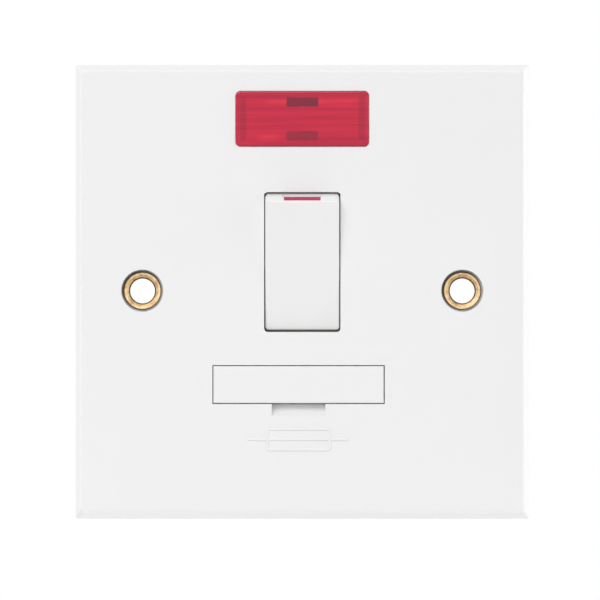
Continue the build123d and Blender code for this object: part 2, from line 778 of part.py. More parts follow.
# Moving contacts: shallow V blades, drawn at mid travel and turned to the closed position
def moving_contact(x):
    front, back = blade_bend_r, blade_bend_r + blade_t
    with BuildPart() as blade:
        with BuildSketch(side_view(x)):
            with BuildLine():
                Polyline(arm_point(0, front, 1), arm_point(blade_end_l, front, 1))
                Polyline(arm_point(blade_end_l, front, 1), arm_point(blade_end_l, back, 1))
                Polyline(arm_point(blade_end_l, back, 1), arm_point(0, back, 1))
                ThreePointArc(
                    arm_point(0, back, 1), (blade_pivot_y + back, rocker_z), arm_point(0, back, -1)
                )
                Polyline(arm_point(0, back, -1), arm_point(blade_tail_l, back, -1))
                Polyline(arm_point(blade_tail_l, back, -1), arm_point(blade_tail_l, front, -1))
                Polyline(arm_point(blade_tail_l, front, -1), arm_point(0, front, -1))
                ThreePointArc(
                    arm_point(0, front, -1), (blade_pivot_y + front, rocker_z), arm_point(0, front, 1)
                )
            make_face()
        extrude(amount=blade_w / 2, both=True)
        for side in (-1, 1):
            with BuildSketch(side_view(x + side * blade_w / 2)):
                with Locations((blade_pivot_y, rocker_z)):
                    Circle(back)
            extrude(amount=side * (ear_gap + ear_t))
    return blade.part.rotate(contact_axis(x), -rocker_tilt)


def moving_tip(x):
    with BuildPart() as tip:
        with BuildSketch(front_view(blade_back_y + tip_t)):
            with Locations((x, contact_z)):
                Circle(tip_r)
        extrude(amount=tip_t)
        chamfer(tip.edges().filter_by(GeomType.CIRCLE).sort_by(Axis.Y)[-1], tip_t / 3)
    return tip.part


write(moving_contact(pole_x), "line_moving_contact")
write(moving_contact(-pole_x), "neutral_moving_contact")
write(moving_tip(pole_x), "line_contact_tip")
write(moving_tip(-pole_x), "neutral_contact_tip")


# Rocker: flat paddle with ends struck from the pivot, drawn at mid travel and turned to its on position
pivot_axis = Axis((0, pivot_y, rocker_z), (1, 0, 0))
front_angle = degrees(asin(rocker_reach / rocker_r))
flag_front = front_angle - degrees(flag_front_lip / rocker_r)
flag_back = flag_front - flag_span
rocker_front_y = pivot_y - rocker_reach
rocker_rear_y = pivot_y + rocker_skirt
plunger_nose_y = blade_pivot_y + blade_bend_r - plunger_play
plunger_root_y = plunger_nose_y - plunger_l
plunger_neck_y = plunger_nose_y - plunger_nose_r
spring_front_y = rocker_front_y + 2 * rocker_wall


def end_point(angle, radius):
    """Point in the side view on the rocker's upper end, angle forward of straight up about the pivot."""
    return (pivot_y - radius * sin(radians(angle)), rocker_z + radius * cos(radians(angle)))


def end_sector(angle_front, angle_back, depth):
    """Curved strip of the rocker's upper end, as deep as asked."""
    middle = (angle_front + angle_back) / 2
    outer = rocker_r
    with BuildLine() as outline:
        ThreePointArc(end_point(angle_front, outer), end_point(middle, outer), end_point(angle_back, outer))
        Line(end_point(angle_back, outer), end_point(angle_back, outer - depth))
        ThreePointArc(
            end_point(angle_back, outer - depth),
            end_point(middle, outer - depth),
            end_point(angle_front, outer - depth),
        )
        Line(end_point(angle_front, outer - depth), end_point(angle_front, outer))
    make_face(outline.edges())


with BuildPart() as rocker:
    with BuildSketch(side_view()):
        with Locations((pivot_y, rocker_z)):
            Circle(rocker_r)
        with Locations(((rocker_front_y + rocker_rear_y) / 2, rocker_z)):
            Rectangle(rocker_rear_y - rocker_front_y, 2 * rocker_r, mode=Mode.INTERSECT)
    extrude(amount=rocker_w / 2, both=True)
    ends = rocker.faces().filter_by(GeomType.CYLINDER)
    side_x = rocker_w / 2 - rocker_corner_r
    fillet(ends.edges().filter_by(lambda edge: abs(edge.center().X) > side_x), rocker_corner_r)
    fillet(rocker.faces().sort_by(Axis.Y)[0].edges().filter_by(Axis.Z), rocker_edge_r)
    # Hollow back, with a keel that carries the trunnions and two bosses that guide the plungers
    with BuildSketch(front_view(rocker_rear_y)):
        with Locations((0, rocker_z)):
            Rectangle(rocker_w - 2 * rocker_wall, 2 * (rocker_r * cos(radians(front_angle)) - rocker_wall))
    extrude(amount=rocker_rear_y - rocker_front_y - rocker_wall, mode=Mode.SUBTRACT)
    with BuildSketch(front_view(pivot_y + keel_depth)):
        with Locations((0, rocker_z)):
            Rectangle(rocker_w, keel_h)
            Rectangle(rocker_w - 2 * rocker_wall, keel_h, mode=Mode.SUBTRACT)
    extrude(amount=keel_depth - rocker_skirt)
    with BuildSketch(front_view(boss_rear_y)):
        with Locations((-pole_x, rocker_z), (pole_x, rocker_z)):
            Circle(plunger_r + bore_clearance + boss_wall)
    extrude(amount=boss_rear_y - rocker_front_y - rocker_wall)
    for side in (-1, 1):
        with BuildSketch(side_view(side * (rocker_w / 2 - rocker_wall))):
            with Locations((pivot_y, rocker_z)):
                Circle(trunnion_r)
        extrude(amount=side * (rocker_wall + trunnion_l))
    with BuildSketch(front_view(boss_rear_y)):
        with Locations((-pole_x, rocker_z), (pole_x, rocker_z)):
            Circle(plunger_r + bore_clearance)
    extrude(amount=boss_rear_y - spring_front_y, mode=Mode.SUBTRACT)
    # Pocket for the flag in the upper end, with a shallow scoop above it
    with BuildSketch(side_view()):
        end_sector(flag_front, flag_back, flag_depth)
    extrude(amount=flag_w / 2, both=True, mode=Mode.SUBTRACT)
    with BuildSketch(side_view()):
        end_sector(flag_back, flag_back - flag_scoop_span, flag_scoop_depth)
    extrude(amount=flag_w / 2 + flag_scoop_margin, both=True, mode=Mode.SUBTRACT)
write(rocker.part.rotate(pivot_axis, rocker_tilt), "rocker")

with BuildPart() as on_flag:
    with BuildSketch(side_view()):
        end_sector(flag_front, flag_back, flag_depth)
    extrude(amount=flag_w / 2, both=True)
write(on_flag.part.rotate(pivot_axis, rocker_tilt), "on_flag")

with BuildPart() as rocker_plungers:
    for x in (-pole_x, pole_x):
        with BuildSketch(Plane((x, 0, rocker_z), x_dir=(1, 0, 0), z_dir=(0, 0, 1))):
            with BuildLine():
                Polyline(
                    (0, plunger_nose_y),
                    (0, plunger_root_y),
                    (plunger_r, plunger_root_y),
                    (plunger_r, boss_rear_y + 2 * bore_clearance),
                    (plunger_nose_r, boss_rear_y + plunger_r),
                    (plunger_nose_r, plunger_neck_y),
                )
                RadiusArc((plunger_nose_r, plunger_neck_y), (0, plunger_nose_y), plunger_nose_r)
            make_face()
        revolve(axis=Axis((x, 0, rocker_z), (0, 1, 0)))
write(rocker_plungers.part.rotate(pivot_axis, rocker_tilt), "rocker_plungers")

spring_l = plunger_root_y - spring_front_y - 2 * spring_wire_r
with BuildPart() as plunger_springs:
    for x in (-pole_x, pole_x):
        with BuildLine() as coil:
            Helix(
                pitch=spring_l / spring_turns,
                height=spring_l,
                radius=plunger_r - spring_wire_r,
                center=(x, spring_front_y + spring_wire_r, rocker_z),
                direction=(0, 1, 0),
            )
        with BuildSketch(coil.line ^ 0):
            RegularPolygon(spring_wire_r, spring_wire_sides)
        sweep(path=coil.line, is_frenet=True)
write(plunger_springs.part.rotate(pivot_axis, rocker_tilt), "plunger_springs")


# Fuse drawer: front panel, two rails with stops and hooks, and saddles that seat the fuse
with BuildPart() as fuse_carrier:
    with BuildSketch(front_view(face_y + carrier_t)):
        with Locations((carrier_x, carrier_z)):
            Rectangle(carrier_w, carrier_h)
    extrude(amount=carrier_t)
    fillet(fuse_carrier.faces().sort_by(Axis.Y)[0].edges(), carrier_edge_r)
    with BuildSketch(front_view(rail_rear_y)):
        with Locations((carrier_x, carrier_z)):
            with GridLocations(2 * (rail_inner + rail_t / 2), 0, 2, 1):
                Rectangle(rail_t, rail_h)
    extrude(amount=rail_rear_y - face_y - carrier_t)
    with BuildSketch(front_view(rail_rear_y)):
        with Locations((carrier_x, carrier_z)):
            with GridLocations(2 * (rail_outer + nib_proud / 2), 0, 2, 1):
                Rectangle(nib_proud, rail_h / 2)
    extrude(amount=nib_l)
    with BuildSketch(front_view(fuse_y + fuse_r + fuse_gap + hook_t)):
        with Locations((carrier_x, carrier_z)):
            with GridLocations(2 * (rail_inner - hook_proud / 2), 0, 2, 1):
                Rectangle(hook_proud, hook_h)
    extrude(amount=hook_t)
    with BuildSketch(front_view(fuse_y)):
        with Locations((carrier_x, carrier_z)):
            with GridLocations(2 * saddle_x, 0, 2, 1):
                Rectangle(saddle_w, saddle_h)
    extrude(amount=fuse_y - face_y - carrier_t)
    with BuildSketch(side_view(carrier_x)):
        with Locations((fuse_y, carrier_z)):
            Circle(fuse_r + seat_clearance)
    extrude(amount=saddle_x + saddle_w, both=True, mode=Mode.SUBTRACT)
write(fuse_carrier.part, "fuse_carrier")

fuse_left = carrier_x - fuse_l / 2

with BuildPart() as fuse_barrel:
    with BuildSketch(side_view(fuse_left + fuse_cap_wall)):
        with Locations((fuse_y, carrier_z)):
            Circle(fuse_r - fuse_cap_wall)
    extrude(amount=fuse_l - 2 * fuse_cap_wall)
write(fuse_barrel.part, "fuse_barrel")

with BuildPart() as fuse_end_caps:
    with BuildSketch(side_view(fuse_left)):
        with Locations((fuse_y, carrier_z)):
            Circle(fuse_r)
    extrude(amount=fuse_l)
    with BuildSketch(side_view(carrier_x)):
        with Locations((fuse_y, carrier_z)):
            Circle(fuse_r + seat_clearance)
    extrude(amount=fuse_l / 2 - fuse_cap_l, both=True, mode=Mode.SUBTRACT)
    chamfer(fuse_end_caps.edges().filter_by(GeomType.CIRCLE).group_by(Axis.X)[0], fuse_cap_wall / 2)
    chamfer(fuse_end_caps.edges().filter_by(GeomType.CIRCLE).group_by(Axis.X)[-1], fuse_cap_wall / 2)
    with BuildSketch(side_view(fuse_left + fuse_cap_wall)):
        with Locations((fuse_y, carrier_z)):
            Circle(fuse_r - fuse_cap_wall)
    extrude(amount=fuse_l - 2 * fuse_cap_wall, mode=Mode.SUBTRACT)
write(fuse_end_caps.part, "fuse_end_caps")


# Fuse clips: sprung U strips open to the front, with flared lips and a tail back to the strips
def fuse_clip(x):
    inner = fuse_r + clip_gap
    outer = inner + clip_t
    lip_y = fuse_y - clip_arm
    tail_y = fuse_y + inner + clip_t / 2
    with BuildPart() as clip:
        with BuildSketch(side_view(x)):
            with Locations((fuse_y, carrier_z)):
                Circle(outer)
                Circle(inner, mode=Mode.SUBTRACT)
                Rectangle(2 * outer, 2 * outer, align=(Align.MAX, Align.CENTER), mode=Mode.SUBTRACT)
            for side in (-1, 1):
                with BuildLine():
                    Polyline(
                        (fuse_y, carrier_z + side * inner),
                        (lip_y, carrier_z + side * inner),
                        (lip_y - clip_lip, carrier_z + side * (inner + clip_flare)),
                        (lip_y - clip_lip, carrier_z + side * (outer + clip_flare)),
                        (lip_y, carrier_z + side * outer),
                        (fuse_y, carrier_z + side * outer),
                        close=True,
                    )
                make_face()
            with Locations(((tail_y + strip_rear_y) / 2, carrier_z)):
                Rectangle(strip_rear_y - tail_y, clip_t)
        extrude(amount=clip_w / 2, both=True)
    return clip.part


write(fuse_clip(clip_in_x), "fuse_clip_supply")
write(fuse_clip(clip_out_x), "fuse_clip_load")


# Rear housing: open-fronted box with barriers, terminal cells, fuse bay and screw bosses
bay_left = carrier_x - bay_half_w
bay_right = carrier_x + bay_half_w
bay_top = carrier_z + bay_half_h
bay_foot = carrier_z - bay_half_h
cell_top = housing_top - housing_wall
cell_foot = housing_bottom + housing_wall
well_foot = jog_z + strip_half + slot_clearance
barrier_top = supply_neck_z - slot_clearance
window_half = cable_r + window_margin
strip_slot_w = strip_w + 2 * slot_clearance
line_slot_right = resistor_x + lead_r + slot_clearance
line_slot_left = clip_in_x - clip_w / 2 - slot_clearance

with BuildPart() as rear_housing:
    with BuildSketch(front_view(housing_rear_y)):
        with Locations((0, housing_z)):
            RectangleRounded(housing_w, housing_h, housing_corner_r)
    extrude(amount=housing_rear_y - split_y)
    fillet(rear_housing.faces().sort_by(Axis.Y)[-1].edges(), housing_edge_r)
    with BuildSketch(front_view(housing_inner_y)):
        with Locations((0, housing_z)):
            Rectangle(housing_w - 2 * housing_wall, housing_h - 2 * housing_wall)
    extrude(amount=cut_through, mode=Mode.SUBTRACT)
    # Barriers between the poles, beside the switch well and between the terminal cells
    with BuildSketch(front_view(housing_inner_y)):
        bar((-barrier_t / 2, barrier_t / 2), (well_foot, barrier_top))
        for side in (-1, 1):
            bar(sorted((side * well_half_w, side * (well_half_w + barrier_t))), (well_foot, cell_top))
            bar(
                sorted((side * (terminal_pitch - barrier_t) / 2, side * (terminal_pitch + barrier_t) / 2)),
                (cell_foot, load_z - slot_clearance),
            )
        bar((bay_left - bay_wall, bay_right + bay_wall), (bay_foot - bay_wall, bay_top + bay_wall))
    extrude(amount=housing_inner_y - split_y)
    with BuildSketch(front_view(housing_inner_y)):
        bar((bay_left, bay_right), (bay_foot, bay_top))
    extrude(amount=cut_through, mode=Mode.SUBTRACT)
    # Keepers that close the trunnion bearings from behind
    with BuildSketch(front_view(split_y)):
        for side in (-1, 1):
            bar(
                sorted((side * well_half_w, side * (well_half_w + barrier_t))),
                (rocker_z - trunnion_r, rocker_z + trunnion_r),
            )
    extrude(amount=split_y - pivot_y - trunnion_r - keeper_gap)
    # Seats behind the strips and round the clamp screws, and bosses for the cover screws
    with BuildSketch(front_view(housing_inner_y)):
        with Locations((pole_x, rocker_z), (-pole_x, rocker_z)):
            Rectangle(strip_w, cradle_h)
        with Locations((pole_x, contact_z), (-pole_x, contact_z)):
            Rectangle(strip_w, 2 * tip_r)
        with Locations((clip_in_x, carrier_z), (clip_out_x, carrier_z)):
            Rectangle(clip_w, strip_w)
    extrude(amount=housing_inner_y - strip_rear_y)
    with BuildSketch(front_view(housing_inner_y)):
        with Locations(*clamp_spots):
            Circle(clamp_access_r + guide_wall)
    extrude(amount=housing_inner_y - terminal_rear_y)
    with BuildSketch(front_view(housing_inner_y)):
        with Locations(*cover_screw_spots):
            Circle(cover_boss_r)
    extrude(amount=housing_inner_y - split_y)
    # Slots in the barriers where strips, tabs and leads pass
    with BuildSketch(front_view(strip_rear_y)):
        bar((-terminal_pitch, -pole_x), (supply_neck_z - slot_clearance, supply_z + slot_clearance))
        bar((line_slot_left, line_slot_right), (bay_top, bay_top + bay_wall))
        with Locations((-pole_x, carrier_z)):
            Rectangle(strip_slot_w, 2 * (bay_half_h + bay_wall))
        with Locations((clip_out_x, bay_foot - bay_wall / 2)):
            Rectangle(clip_w + 2 * slot_clearance, bay_wall)
    extrude(amount=cut_through, mode=Mode.SUBTRACT)
    with BuildSketch(front_view(neutral_lead_y + lead_r + slot_clearance)):
        bar((lead_x - 2 * lead_r, lead_x + 2 * lead_r), (cell_top, housing_top))
    extrude(amount=cut_through, mode=Mode.SUBTRACT)
    with BuildSketch(front_view(pocket_rear_y + lens_barb_l + slot_clearance)):
        with Locations((0, lens_z - leg_z)):
            Rectangle(leg_slot_w, leg_slot_h)
    extrude(amount=cut_through, mode=Mode.SUBTRACT)
    # Cable windows above and below, clamp screw access and cover screw holes through the back
    with BuildSketch(Plane.XY.offset(housing_bottom)):
        with Locations(*[(x, cable_y) for x in load_xs]):
            Rectangle(2 * window_half, 2 * window_half)
    extrude(amount=housing_wall, mode=Mode.SUBTRACT)
    with BuildSketch(Plane.XY.offset(cell_top)):
        with Locations(*[(x, cable_y) for x in supply_xs]):
            Rectangle(2 * window_half, 2 * window_half)
    extrude(amount=housing_wall, mode=Mode.SUBTRACT)
    with BuildSketch(front_view(housing_rear_y)):
        with Locations(*clamp_spots):
            Circle(clamp_access_r)
    extrude(amount=housing_rear_y - terminal_rear_y, mode=Mode.SUBTRACT)
    with BuildSketch(front_view(housing_rear_y)):
        with Locations(*cover_screw_spots):
            Circle(cover_sink_r)
    extrude(amount=cover_sink, mode=Mode.SUBTRACT)
    with BuildSketch(front_view(housing_rear_y)):
        with Locations(*cover_screw_spots):
            Circle(cover_hole_r)
    extrude(amount=housing_rear_y - split_y, mode=Mode.SUBTRACT)
write(rear_housing.part, "rear_housing")

# Cover screws: cross-slotted heads sunk in the housing's back, shanks down into the plate's pillars
cover_seat_y = housing_rear_y - cover_sink

with BuildPart() as housing_screws:
    with BuildSketch(front_view(cover_seat_y + cover_head_t)):
        with Locations(*cover_screw_spots):
            Circle(cover_head_r)
    extrude(amount=cover_head_t)
    with BuildSketch(front_view(cover_seat_y)):
        with Locations(*cover_screw_spots):
            Circle(cover_screw_r)
    extrude(amount=cover_seat_y - split_y + cover_screw_bite)
    with BuildSketch(front_view(cover_seat_y + cover_head_t)):
        with Locations(*cover_screw_spots):
            Rectangle(cover_slot_l, slot_width)
            Rectangle(slot_width, cover_slot_l)
    extrude(amount=slot_depth, mode=Mode.SUBTRACT)
write(housing_screws.part, "housing_screws")
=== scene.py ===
import json
import math

import bpy
import numpy as np
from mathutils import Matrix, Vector


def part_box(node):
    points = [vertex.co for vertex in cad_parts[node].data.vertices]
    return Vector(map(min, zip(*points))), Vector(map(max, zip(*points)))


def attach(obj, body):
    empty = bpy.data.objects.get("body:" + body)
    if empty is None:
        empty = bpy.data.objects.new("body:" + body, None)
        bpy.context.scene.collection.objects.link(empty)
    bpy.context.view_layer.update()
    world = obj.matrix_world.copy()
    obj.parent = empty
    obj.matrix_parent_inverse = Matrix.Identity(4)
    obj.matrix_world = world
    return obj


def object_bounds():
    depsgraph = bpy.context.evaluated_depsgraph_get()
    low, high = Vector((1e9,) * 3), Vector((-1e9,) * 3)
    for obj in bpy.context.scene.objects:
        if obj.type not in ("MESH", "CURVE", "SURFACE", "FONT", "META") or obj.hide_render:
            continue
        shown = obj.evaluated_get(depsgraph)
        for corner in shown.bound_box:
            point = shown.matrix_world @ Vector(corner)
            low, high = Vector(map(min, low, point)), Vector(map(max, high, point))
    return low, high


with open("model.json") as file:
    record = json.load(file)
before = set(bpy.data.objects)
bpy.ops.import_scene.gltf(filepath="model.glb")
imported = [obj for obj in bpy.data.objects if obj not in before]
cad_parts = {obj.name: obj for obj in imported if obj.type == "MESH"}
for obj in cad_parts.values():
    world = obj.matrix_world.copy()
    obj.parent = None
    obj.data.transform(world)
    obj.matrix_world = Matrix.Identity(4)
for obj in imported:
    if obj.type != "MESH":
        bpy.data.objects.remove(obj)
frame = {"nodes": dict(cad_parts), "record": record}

mm = 0.001
cadLow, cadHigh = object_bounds()
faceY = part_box("front_plate")[0][1]
wallBody = "wall_unit"
print("frame loaded, nodes:", len(frame["nodes"]))


# Colours are written as they look on screen, 0 to 255, and turned into linear light here
def screen(red, green, blue):
    share = np.array([red, green, blue]) / 255.0
    linear = np.where(share <= 0.04045, share / 12.92, ((share + 0.055) / 1.055) ** 2.4)
    return (*linear.tolist(), 1.0)


# Small helpers for node trees
def addNode(tree, kind, place=(0, 0), **settings):
    node = tree.nodes.new(kind)
    node.location = place
    for name, value in settings.items():
        setattr(node, name, value)
    return node


def join(tree, source, target):
    tree.links.new(source, target)


# An input takes another node's socket or a plain number
def feed(tree, value, target):
    if isinstance(value, (int, float)):
        target.default_value = value
    else:
        join(tree, value, target)


def newGroup(name, inputs, outputs):
    tree = bpy.data.node_groups.new(name, "ShaderNodeTree")
    for label, value in inputs:
        socket = tree.interface.new_socket(label, in_out="INPUT", socket_type="NodeSocketFloat")
        socket.default_value = value
    for label in outputs:
        tree.interface.new_socket(label, in_out="OUTPUT", socket_type="NodeSocketFloat")
    start = addNode(tree, "NodeGroupInput", (-900, 0))
    end = addNode(tree, "NodeGroupOutput", (600, 0))
    return tree, start, end


# One step of arithmetic; each input is a socket or a plain number
def mathStep(tree, operation, first, second=0.0):
    node = addNode(tree, "ShaderNodeMath", operation=operation)
    feed(tree, first, node.inputs[0])
    feed(tree, second, node.inputs[1])
    return node.outputs["Value"]


def times(tree, first, second):
    return mathStep(tree, "MULTIPLY", first, second)


# 1 where the mask is 0, and 0 where it is 1
def outside(tree, mask):
    return mathStep(tree, "SUBTRACT", 1.0, mask)


# One range carried over to another, and held at its ends
def remap(tree, value, source=(0.0, 1.0), target=(0.0, 1.0), kind="LINEAR"):
    node = addNode(tree, "ShaderNodeMapRange", interpolation_type=kind)
    labels = ("From Min", "From Max", "To Min", "To Max")
    for label, given in zip(labels, (*source, *target)):
        feed(tree, given, node.inputs[label])
    join(tree, value, node.inputs["Value"])
    return node.outputs["Result"]


# Soft step: 1 while the value is below the edge, falling to 0 over the given width about it
def below(tree, value, edge, width):
    source = (edge - width / 2, edge + width / 2)
    return remap(tree, value, source, (1.0, 0.0), "SMOOTHSTEP")


# 1 between two edges, falling to 0 over the given width about each
def between(tree, value, low, high, width):
    under = below(tree, value, high, width)
    return mathStep(tree, "SUBTRACT", under, below(tree, value, low, width))


# 1 inside an upright oblong, falling to 0 over the soft widths about its ends and its long sides
def patch(tree, side, up, oblong, soft):
    left, right, foot, top = (edge * mm for edge in oblong)
    softEnd, softSide = (width * mm for width in soft)
    across = between(tree, side, left, right, softEnd)
    return times(tree, across, between(tree, up, foot, top, softSide))


# Object coordinates, whole and taken apart
def places(tree):
    spot = addNode(tree, "ShaderNodeTexCoord", (-900, 0)).outputs["Object"]
    apart = addNode(tree, "ShaderNodeSeparateXYZ", (-720, 0))
    join(tree, spot, apart.inputs["Vector"])
    return spot, apart.outputs["X"], apart.outputs["Y"], apart.outputs["Z"]


def addNoise(tree, vector, scale, detail, roughness=0.5):
    node = addNode(tree, "ShaderNodeTexNoise", (-600, 0))
    join(tree, vector, node.inputs["Vector"])
    feed(tree, scale, node.inputs["Scale"])
    node.inputs["Detail"].default_value = detail
    node.inputs["Roughness"].default_value = roughness
    return node.outputs["Fac"]


# Moulded skin: broad cloudiness from the melt, fine peel from the tool, and gloss that follows the cloud
skinLook = dict(cloudDetail=3.0, peelDetail=2.0, peelRoughness=0.6)


def makeMouldSkin(look):
    tree, start, end = newGroup(
        "mouldSkin",
        [("Cloud Scale", 60.0), ("Peel Scale", 900.0), ("Gloss Low", 0.25), ("Gloss High", 0.4)],
        ["Cloud", "Peel", "Gloss"],
    )
    spot = addNode(tree, "ShaderNodeTexCoord", (-900, 300)).outputs["Object"]
    cloud = addNoise(tree, spot, start.outputs["Cloud Scale"], look["cloudDetail"])
    peel = addNoise(tree, spot, start.outputs["Peel Scale"], look["peelDetail"], look["peelRoughness"])
    gloss = remap(tree, cloud, target=(start.outputs["Gloss Low"], start.outputs["Gloss High"]))
    for label, value in (("Cloud", cloud), ("Peel", peel), ("Gloss", gloss)):
        join(tree, value, end.inputs[label])
    return tree


# Worked metal: streaks drawn out along one axis, blotches of tarnish, and gloss that follows the streaks
grainLook = dict(streakDetail=3.0, blotchDetail=4.0, blotchRoughness=0.65, tarnishRange=(0.42, 0.68))


def makeMetalGrain(look):
    tree, start, end = newGroup(
        "metalGrain",
        [("Streak", 1500.0), ("Along", 0.06), ("Blotch", 400.0), ("Gloss Low", 0.2), ("Gloss High", 0.45)],
        ["Streaks", "Tarnish", "Gloss"],
    )
    spot, x, y, z = places(tree)
    drawn = addNode(tree, "ShaderNodeCombineXYZ", (-450, 300))
    for axis, value in (("X", x), ("Y", times(tree, y, start.outputs["Along"])), ("Z", z)):
        join(tree, value, drawn.inputs[axis])
    streaks = addNoise(tree, drawn.outputs["Vector"], start.outputs["Streak"], look["streakDetail"])
    blotch = addNoise(tree, spot, start.outputs["Blotch"], look["blotchDetail"], look["blotchRoughness"])
    tarnish = remap(tree, blotch, source=look["tarnishRange"])
    gloss = remap(tree, streaks, target=(start.outputs["Gloss Low"], start.outputs["Gloss High"]))
    for label, value in (("Streaks", streaks), ("Tarnish", tarnish), ("Gloss", gloss)):
        join(tree, value, end.inputs[label])
    return tree


mouldSkin = makeMouldSkin(skinLook)
metalGrain = makeMetalGrain(grainLook)
print("shared effects made")


def newMaterial(name):
    material = bpy.data.materials.new(name)
    material.use_nodes = True
    tree = material.node_tree
    tree.nodes.clear()
    out = addNode(tree, "ShaderNodeOutputMaterial", (600, 0))
    body = addNode(tree, "ShaderNodeBsdfPrincipled", (300, 0))
    join(tree, body.outputs["BSDF"], out.inputs["Surface"])
    return material, tree, body


def placeGroup(tree, group, **values):
    node = addNode(tree, "ShaderNodeGroup", (-500, 0), node_tree=group)
    for label, value in values.items():
        node.inputs[label.replace("_", " ")].default_value = value
    return node


# The first tone where the mask is 0, the second where it is 1
def blendTones(tree, mask, first, second):
    node = addNode(tree, "ShaderNodeMix", (0, 200), data_type="RGBA")
    node.inputs["A"].default_value = screen(*first)
    node.inputs["B"].default_value = screen(*second)
    join(tree, mask, node.inputs["Factor"])
    return node.outputs["Result"]


# A plain tone laid over a colour where the mask is 1
def overlay(tree, mask, under, tone):
    node = addNode(tree, "ShaderNodeMix", (100, 200), data_type="RGBA")
    join(tree, mask, node.inputs["Factor"])
    join(tree, under, node.inputs["A"])
    node.inputs["B"].default_value = screen(*tone)
    return node.outputs["Result"]


# Bump from a height, over edges that are eased where a radius is given; depth and edge are in mm
bevelSamples = 4


def addBump(tree, body, height, depth, strength, edge=0.0):
    bump = addNode(tree, "ShaderNodeBump", (0, -400))
    bump.inputs["Strength"].default_value = strength
    bump.inputs["Distance"].default_value = depth * mm
    join(tree, height, bump.inputs["Height"])
    if edge:
        eased = addNode(tree, "ShaderNodeBevel", (-250, -500), samples=bevelSamples)
        eased.inputs["Radius"].default_value = edge * mm
        join(tree, eased.outputs["Normal"], bump.inputs["Normal"])
    join(tree, bump.outputs["Normal"], body.inputs["Normal"])


# A moulded plastic: two close shades over the cloud, peel in the bump
def dressPlastic(tree, body, look):
    skin = placeGroup(
        tree,
        mouldSkin,
        Cloud_Scale=look["cloudScale"],
        Peel_Scale=look["peelScale"],
        Gloss_Low=look["gloss"][0],
        Gloss_High=look["gloss"][1],
    )
    join(tree, skin.outputs["Gloss"], body.inputs["Roughness"])
    body.inputs["IOR"].default_value = look["ior"]
    addBump(tree, body, skin.outputs["Peel"], look["peelDepth"], look["peelStrength"], look["edge"])
    return blendTones(tree, skin.outputs["Cloud"], look["shade"], look["tone"])


def mouldedPlastic(name, look):
    material, tree, body = newMaterial(name)
    join(tree, dressPlastic(tree, body, look), body.inputs["Base Color"])
    return material


# A worked metal: base tone, tarnish tone and streaky gloss
def dressMetal(tree, body, look):
    grain = placeGroup(
        tree,
        metalGrain,
        Streak=look["streak"],
        Along=look["along"],
        Blotch=look["blotch"],
        Gloss_Low=look["gloss"][0],
        Gloss_High=look["gloss"][1],
    )
    join(tree, grain.outputs["Gloss"], body.inputs["Roughness"])
    body.inputs["Metallic"].default_value = 1.0
    addBump(tree, body, grain.outputs["Streaks"], look["depth"], look["strength"], look["edge"])
    return blendTones(tree, grain.outputs["Tarnish"], look["tone"], look["tarnish"])


def workedMetal(name, look):
    material, tree, body = newMaterial(name)
    join(tree, dressMetal(tree, body, look), body.inputs["Base Color"])
    return material


# Plastics, ceramic and lacquer; scales are per metre, depths and edges in mm
plateLook = dict(tone=(244, 244, 244), shade=(242, 242, 242), cloudScale=45.0, peelScale=1400.0,
                 gloss=(0.28, 0.36), ior=1.5, peelDepth=0.02, peelStrength=0.12, edge=0.18)
housingLook = dict(tone=(226, 227, 226), shade=(219, 220, 219), cloudScale=60.0, peelScale=5200.0,
                   gloss=(0.5, 0.62), ior=1.48, peelDepth=0.05, peelStrength=0.35, edge=0.2)
flagLook = dict(tone=(188, 10, 78), shade=(176, 6, 68), cloudScale=300.0, peelScale=2600.0,
                gloss=(0.35, 0.45), ior=1.48, peelDepth=0.02, peelStrength=0.1, edge=0.05)
nylonLook = dict(tone=(232, 230, 222), shade=(222, 219, 208), cloudScale=300.0, peelScale=3000.0,
                 gloss=(0.4, 0.5), ior=1.5, peelDepth=0.02, peelStrength=0.15, edge=0.08)
ceramicLook = dict(tone=(232, 229, 219), shade=(221, 217, 204), cloudScale=220.0, peelScale=4200.0,
                   gloss=(0.45, 0.6), ior=1.5, peelDepth=0.03, peelStrength=0.25, edge=0.08)
sleeveLook = dict(tone=(226, 224, 216), shade=(214, 211, 201), cloudScale=500.0, peelScale=3500.0,
                  gloss=(0.42, 0.55), ior=1.48, peelDepth=0.02, peelStrength=0.2, edge=0.0)
resistorLook = dict(tone=(196, 160, 112), shade=(178, 140, 94), cloudScale=700.0, peelScale=3000.0,
                    gloss=(0.3, 0.42), ior=1.5, peelDepth=0.02, peelStrength=0.2, edge=0.0)

# Metals, in the same units
brassLook = dict(tone=(226, 192, 138), tarnish=(184, 142, 92), streak=2600.0, along=0.1, blotch=900.0,
                 gloss=(0.36, 0.52), depth=0.02, strength=0.2, edge=0.1)
bronzeLook = dict(tone=(205, 150, 104), tarnish=(160, 104, 66), streak=2200.0, along=0.1, blotch=600.0,
                  gloss=(0.25, 0.42), depth=0.02, strength=0.2, edge=0.06)
silverLook = dict(tone=(222, 221, 216), tarnish=(184, 180, 170), streak=3000.0, along=1.0, blotch=900.0,
                  gloss=(0.25, 0.4), depth=0.02, strength=0.2, edge=0.06)
zincLook = dict(tone=(206, 208, 211), tarnish=(170, 172, 176), streak=2600.0, along=1.0, blotch=700.0,
                gloss=(0.24, 0.4), depth=0.02, strength=0.2, edge=0.1)
nickelLook = dict(tone=(214, 213, 208), tarnish=(188, 185, 177), streak=2400.0, along=1.0, blotch=500.0,
                  gloss=(0.14, 0.28), depth=0.02, strength=0.12, edge=0.08)
springLook = dict(tone=(180, 181, 184), tarnish=(146, 147, 150), streak=3200.0, along=1.0, blotch=900.0,
                  gloss=(0.25, 0.4), depth=0.01, strength=0.15, edge=0.0)


